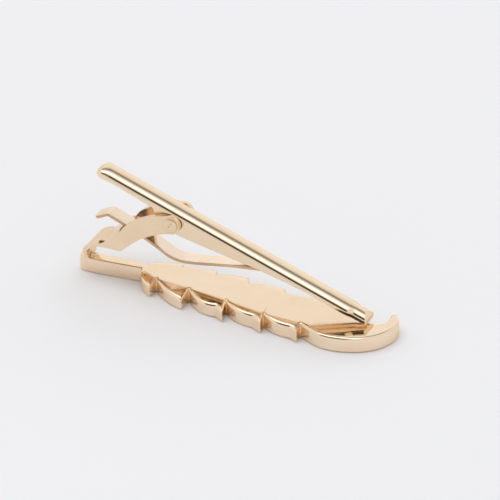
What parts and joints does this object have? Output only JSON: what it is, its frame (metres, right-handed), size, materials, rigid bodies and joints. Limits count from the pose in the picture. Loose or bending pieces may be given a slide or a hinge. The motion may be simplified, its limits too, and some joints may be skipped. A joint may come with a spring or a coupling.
{
  "type": "feather spring clip",
  "caption": "Alligator-type spring clip: a feather-shaped plate with a stamped hinge bracket, a riveted channel arm and a leaf spring that closes the jaw.",
  "frame": {"origin": "on the feather's front face, which the clip lies on, at mid-length and in the mechanism's middle plane", "axes": "+X from the quill to the feather's tip, +Z from the front face to the thumb end of the arm, hinge axis along Y"},
  "size_m": [0.058, 0.0124, 0.0206],
  "materials": {
    "plated_plate": "polished pale gold plating",
    "plated_bracket": "polished pale gold plating on stamped sheet",
    "plated_arm": "polished pale gold plating on pressed sheet",
    "plated_spring": "satin pale gold plating on spring strip",
    "braze": "rough cast braze"
  },
  "bodies": {
    "plate_and_bracket": {"feather_plate": "plated_plate", "hinge_bracket": "plated_bracket", "hinge_rivet": "plated_bracket", "braze_fillet": "braze"},
    "arm": {"clip_arm": "plated_arm", "leaf_spring": "plated_spring"}
  },
  "joints": [
    {"name": "arm_hinge", "type": "hinge", "parent": "plate_and_bracket", "child": "arm", "pos_m": [-0.01088, 0, 0.014], "axis": [0, -1, 0], "range_deg": [0, 22], "stiffness_Nm_per_rad": 0.1, "springref_deg": -34.38, "deforming": ["leaf_spring"]}
  ]
}
